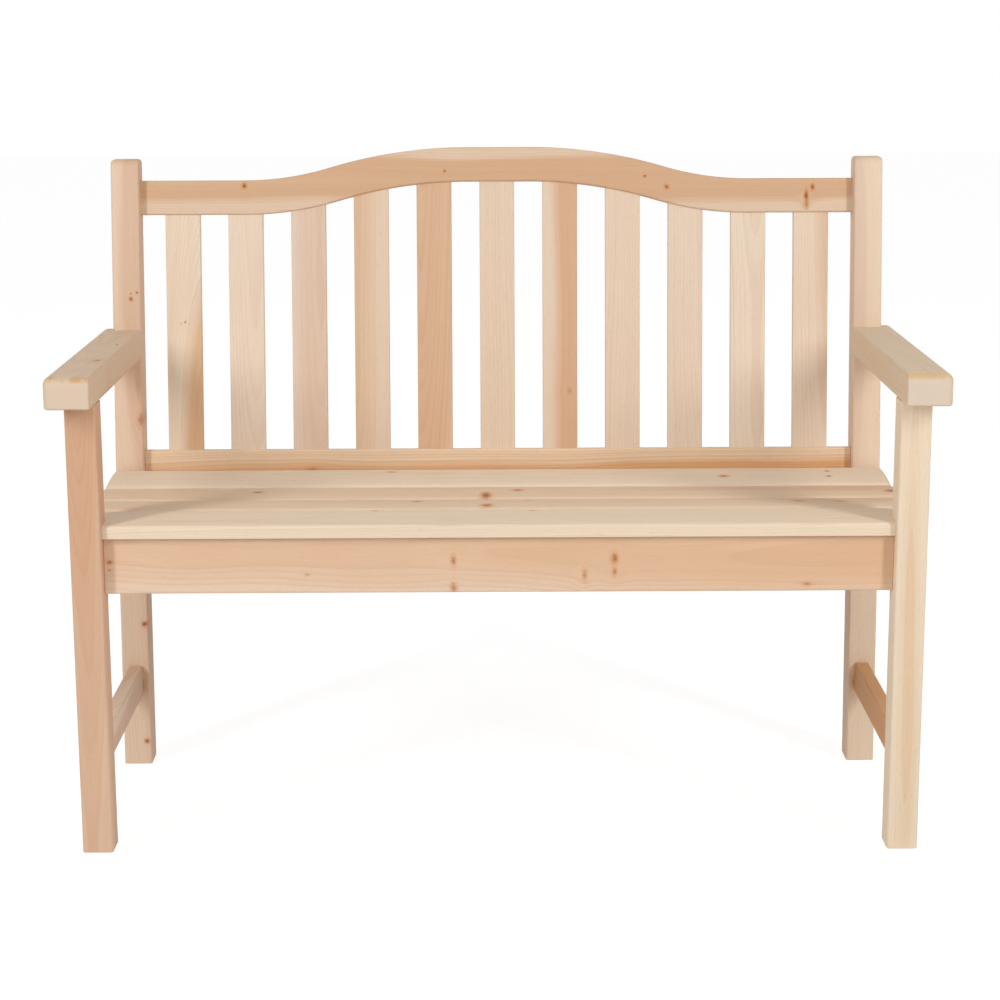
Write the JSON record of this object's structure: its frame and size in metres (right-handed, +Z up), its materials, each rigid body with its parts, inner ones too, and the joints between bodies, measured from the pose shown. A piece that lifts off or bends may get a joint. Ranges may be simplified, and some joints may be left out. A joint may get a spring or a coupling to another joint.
{
  "type": "outdoor bench",
  "caption": "Wooden garden bench with arms, a camel-back slatted back and a shallow contoured slatted seat, on square legs joined by low side stretchers.",
  "frame": {"origin": "on the floor, under the middle of the bench's box", "axes": "+X along the bench, to the right of someone who looks at its front; +Y from the front of the seat to the back; +Z up"},
  "size_m": [1.22, 0.5556, 0.9542],
  "materials": {
    "frame_wood": "planed unfinished softwood, pale pink to cream",
    "rail_wood": "planed unfinished softwood, pinkish tan",
    "seat_wood": "planed unfinished softwood, cream to tan",
    "back_rail_wood": "planed unfinished softwood, orange tan",
    "back_slat_wood": "planed unfinished softwood, each board of its own tone",
    "dowel_wood": "turned hardwood dowel",
    "zinc_steel": "zinc plated steel"
  },
  "bodies": {
    "root": {"front_leg_left": "frame_wood", "front_leg_right": "frame_wood", "rear_post_left": "frame_wood", "rear_post_right": "frame_wood", "arm_left": "frame_wood", "arm_right": "frame_wood", "side_stretcher_left": "rail_wood", "side_stretcher_right": "rail_wood", "side_seat_rail_left": "rail_wood", "side_seat_rail_right": "rail_wood", "front_apron": "rail_wood", "rear_seat_rail": "rail_wood", "centre_seat_support": "rail_wood", "seat_slat_1": "seat_wood", "seat_slat_2": "seat_wood", "seat_slat_3": "seat_wood", "seat_slat_4": "seat_wood", "back_top_rail": "back_rail_wood", "back_bottom_rail": "back_rail_wood", "back_slat_01": "back_slat_wood", "back_slat_02": "back_slat_wood", "back_slat_03": "back_slat_wood", "back_slat_04": "back_slat_wood", "back_slat_05": "back_slat_wood", "back_slat_06": "back_slat_wood", "back_slat_07": "back_slat_wood", "back_slat_08": "back_slat_wood", "back_slat_09": "back_slat_wood", "back_slat_10": "back_slat_wood", "back_slat_11": "back_slat_wood", "seat_rail_dowels": "dowel_wood", "arm_dowels": "dowel_wood", "connector_bolts": "zinc_steel", "barrel_nuts": "zinc_steel", "arm_screws": "zinc_steel", "seat_screws": "zinc_steel"}
  },
  "joints": []
}
